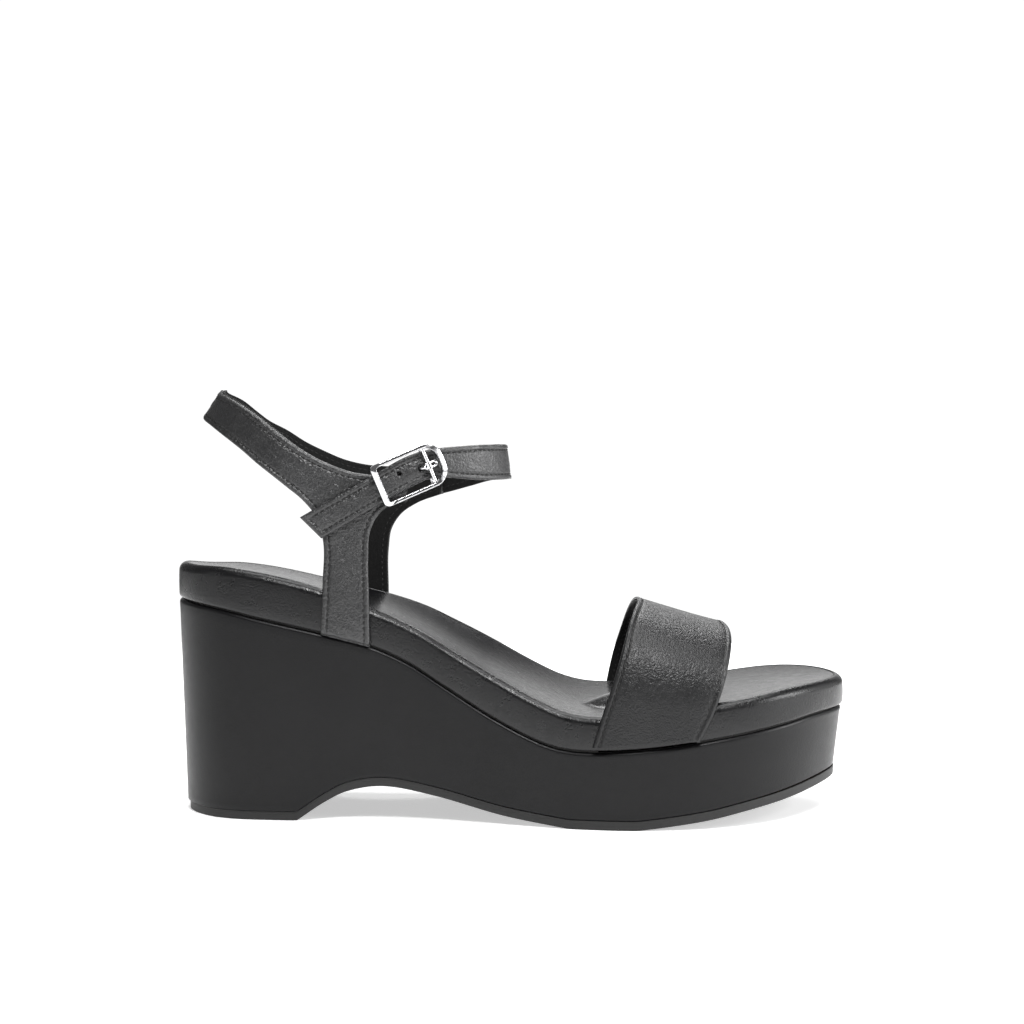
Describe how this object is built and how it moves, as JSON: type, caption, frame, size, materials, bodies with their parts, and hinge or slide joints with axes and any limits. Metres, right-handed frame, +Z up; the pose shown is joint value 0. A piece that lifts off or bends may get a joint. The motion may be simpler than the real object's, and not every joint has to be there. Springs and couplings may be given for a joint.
{
  "type": "wedge sandal",
  "caption": "Platform wedge sandal with a broad toe strap, closed footbed, and an ankle strap with buckle and free strap end.",
  "frame": {"origin": "on the ground under the middle of the shoe's box", "axes": "+X from heel to toe, +Y to the inner side of the foot, +Z up; a right shoe"},
  "size_m": [0.2525, 0.0939, 0.1583],
  "materials": {
    "outsole_rubber": "matt black rubber",
    "wedge_core": "light moulded cork composite",
    "wedge_leather": "black grained leather, semi matt",
    "board": "pressed fibre board",
    "steel": "plain steel strip",
    "foam": "soft latex foam",
    "sock_leather": "smooth black leather, slight shine",
    "band_leather": "black grained leather, folded top edge",
    "upper_leather": "black pebbled leather",
    "lining_leather": "matt black lining leather",
    "buckle_metal": "polished nickel plate"
  },
  "bodies": {
    "sandal": {"outsole": "outsole_rubber", "wedge_core": "wedge_core", "wedge_cover": "wedge_leather", "insole_board": "board", "shank": "steel", "shank_rivets": "steel", "footbed_foam": "foam", "arch_pad": "foam", "metatarsal_pad": "foam", "sock_cover": "sock_leather", "footbed_band": "band_leather", "vamp_outer": "upper_leather", "vamp_lining": "lining_leather", "quarter_outer": "upper_leather", "quarter_lining": "lining_leather", "ankle_strap_outer": "upper_leather", "ankle_strap_lining": "lining_leather", "buckle_chape": "upper_leather"},
    "buckle": {"buckle_frame": "buckle_metal"},
    "prong": {"buckle_prong": "buckle_metal"},
    "strap_tail": {"strap_tail_outer": "upper_leather", "strap_tail_lining": "lining_leather"}
  },
  "joints": [
    {"name": "buckle_rock", "type": "hinge", "parent": "sandal", "child": "buckle", "pos_m": [-0.03141, -0.02364, 0.13028], "axis": [-0.3802, -0.0668, 0.9225], "range_deg": [-2, 6]},
    {"name": "prong_lift", "type": "hinge", "parent": "buckle", "child": "prong", "pos_m": [-0.03006, -0.02874, 0.13047], "axis": [-0.3802, -0.0668, 0.9225], "range_deg": [0, 28]},
    {"name": "strap_tail_lift", "type": "hinge", "parent": "sandal", "child": "strap_tail", "pos_m": [-0.04915, -0.03155, 0.12145], "axis": [-0.4885, -0.0384, 0.8717], "range_deg": [0, 50], "stiffness_Nm_per_rad": 0.004}
  ]
}
